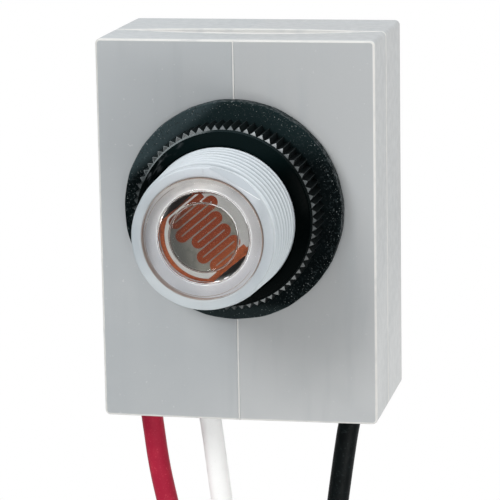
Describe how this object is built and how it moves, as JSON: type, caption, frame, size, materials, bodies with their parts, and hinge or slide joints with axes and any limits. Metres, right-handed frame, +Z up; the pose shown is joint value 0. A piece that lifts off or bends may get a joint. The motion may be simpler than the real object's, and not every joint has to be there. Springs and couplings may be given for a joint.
{
  "type": "photocell switch",
  "caption": "Moulded box-shaped photocell switch with a threaded nipple, a clear lens over its light sensor, a gasket, a knurled lock nut and hanging wire leads.",
  "frame": {"origin": "on the nipple's axis, at the ridge of the housing's front face, where the gasket seats", "axes": "+Z up the housing, the front with the nipple faces -Y, +X to the right as seen from the front"},
  "size_m": [0.04, 0.0472, 0.2052],
  "materials": {
    "housing": "moulded grey plastic, fine satin",
    "nipple": "milky natural nylon, slightly translucent",
    "lens": "clear polished plastic",
    "gasket": "black rubber with light dust",
    "nut": "black glossy moulding",
    "cell_ceramic": "plain sintered ceramic",
    "cell_film": "rust-brown light-sensitive film",
    "cell_metal": "dull evaporated metal film",
    "tinned_wire": "tinned wire",
    "board": "brown phenolic board",
    "steel": "plated steel",
    "solder": "bright solder",
    "brass": "stamped brass",
    "bimetal": "bimetal strip",
    "contact": "silver contact face",
    "heater": "coated ceramic resistor",
    "copper": "bare stranded copper",
    "red_insulation": "red satin insulation",
    "white_insulation": "white satin insulation",
    "black_insulation": "black satin insulation"
  },
  "bodies": {
    "housing": {"front_shell": "housing", "rear_cover": "housing", "threaded_nipple": "nipple", "lens": "lens", "cell_disc": "cell_ceramic", "cell_track": "cell_film", "cell_electrodes": "cell_metal", "cell_leads": "tinned_wire", "circuit_board": "board", "board_screws": "steel", "solder_joints": "solder", "anchor_bracket": "brass", "contact_bracket": "brass", "fixed_contact": "contact", "adjusting_screw": "brass", "board_rivets": "steel", "heater_body": "heater", "heater_leads": "tinned_wire", "lead_tails": "copper", "red_lead": "red_insulation", "white_lead": "white_insulation", "black_lead": "black_insulation", "red_lead_tip": "copper", "white_lead_tip": "copper", "black_lead_tip": "copper"},
    "gasket": {"gasket": "gasket"},
    "nut": {"lock_nut": "nut"},
    "arm": {"bimetal_arm": "bimetal", "moving_contact": "contact"}
  },
  "joints": [
    {"name": "gasket_slide", "type": "slide", "parent": "housing", "child": "gasket", "axis": [0, -1, 0], "range_m": [0, 0.01633]},
    {"name": "nut_turn", "type": "hinge", "parent": "gasket", "child": "nut", "pos_m": [0, 0, 0], "axis": [0, -1, 0], "range_deg": [0, 3240]},
    {"name": "arm_swing", "type": "hinge", "parent": "housing", "child": "arm", "pos_m": [0.008, 0.00975, 0.0164], "axis": [-1, 0, 0], "range_deg": [0, 2.5], "stiffness_Nm_per_rad": 0.6}
  ],
  "couplings": [
    {"joint": "gasket_slide", "follows": "nut_turn", "m_per_rad": 0.00028871}
  ]
}
